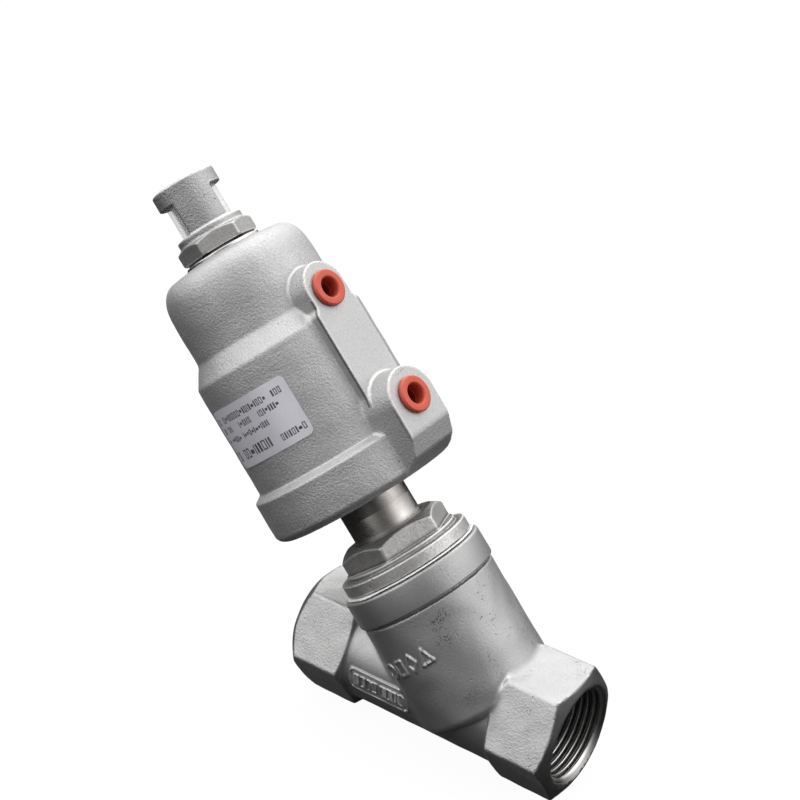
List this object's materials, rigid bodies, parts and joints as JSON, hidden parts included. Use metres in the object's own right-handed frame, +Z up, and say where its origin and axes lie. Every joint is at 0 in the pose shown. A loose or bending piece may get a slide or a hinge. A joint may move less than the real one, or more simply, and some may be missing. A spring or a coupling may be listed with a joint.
{
  "type": "pneumatic angle seat valve",
  "caption": "Stainless angle seat valve with threaded pipe ports, a piston air head on a slanted neck, plugged air ports and a clear position indicator.",
  "frame": {"origin": "the bottom centre of the bounding box, on the plane under the port hexagons", "axes": "+X along the run out of the right port, +Z up, Y = 0 the mirror plane of the body; the stem leans 50 degrees up from the run toward -X"},
  "size_m": [0.1708, 0.0678, 0.1797],
  "materials": {
    "cast_stainless": "bead blasted investment casting, satin grey",
    "machined_stainless": "fine turned, satin",
    "piston_aluminium": "turned",
    "spring_steel": "drawn wire",
    "ptfe_white": "waxy, matte",
    "nitrile_black": "matte",
    "bronze": "sintered, satin",
    "red_plastic": "moulded, soft gloss",
    "label_film": "silvered film",
    "clear_tube": "clear moulded tube",
    "indicator_tip": "moulded"
  },
  "bodies": {
    "valve_body": {"body_casting": "cast_stainless", "body_gasket": "ptfe_white", "bonnet_nut": "machined_stainless", "neck_tube": "machined_stainless", "lower_guide_bush": "bronze", "packing_base_ring": "machined_stainless", "packing_ring_1": "ptfe_white", "packing_ring_2": "ptfe_white", "packing_ring_3": "ptfe_white", "packing_top_ring": "machined_stainless", "packing_spring": "spring_steel", "spindle_wiper": "nitrile_black", "upper_guide_bush": "bronze", "neck_retaining_ring": "spring_steel"},
    "actuator": {"actuator_housing": "cast_stainless", "bottom_cover": "machined_stainless", "cover_oring": "nitrile_black", "neck_oring": "nitrile_black", "cover_retaining_ring": "spring_steel", "indicator_cage": "cast_stainless", "cage_oring": "nitrile_black", "sight_tube": "clear_tube", "tube_retainer": "machined_stainless", "spring_seat": "machined_stainless", "closing_spring_outer": "spring_steel", "closing_spring_inner": "spring_steel", "data_label": "label_film"},
    "stem": {"spindle": "machined_stainless", "disc_carrier": "machined_stainless", "seat_seal": "ptfe_white", "disc_washer": "machined_stainless", "disc_nut": "machined_stainless", "piston": "piston_aluminium", "piston_seal": "nitrile_black", "piston_guide_ring": "ptfe_white", "piston_oring": "nitrile_black", "piston_washer": "machined_stainless", "piston_nut": "machined_stainless", "indicator_tip": "indicator_tip"},
    "upper_plug": {"upper_port_plug": "red_plastic"},
    "lower_plug": {"lower_port_plug": "red_plastic"}
  },
  "joints": [
    {"name": "stem_lift", "type": "slide", "parent": "valve_body", "child": "stem", "axis": [-0.6428, 0, 0.766], "range_m": [0, 0.012], "deforming": ["closing_spring_outer", "closing_spring_inner"]},
    {"name": "actuator_swivel", "type": "hinge", "parent": "valve_body", "child": "actuator", "pos_m": [-0.00581, 0, 0.08791], "axis": [-0.6428, 0, 0.766], "continuous": true},
    {"name": "upper_plug_pull", "type": "slide", "parent": "actuator", "child": "upper_plug", "axis": [0.766, 0, 0.6428], "range_m": [0, 0.015]},
    {"name": "lower_plug_pull", "type": "slide", "parent": "actuator", "child": "lower_plug", "axis": [0.766, 0, 0.6428], "range_m": [0, 0.015]}
  ]
}
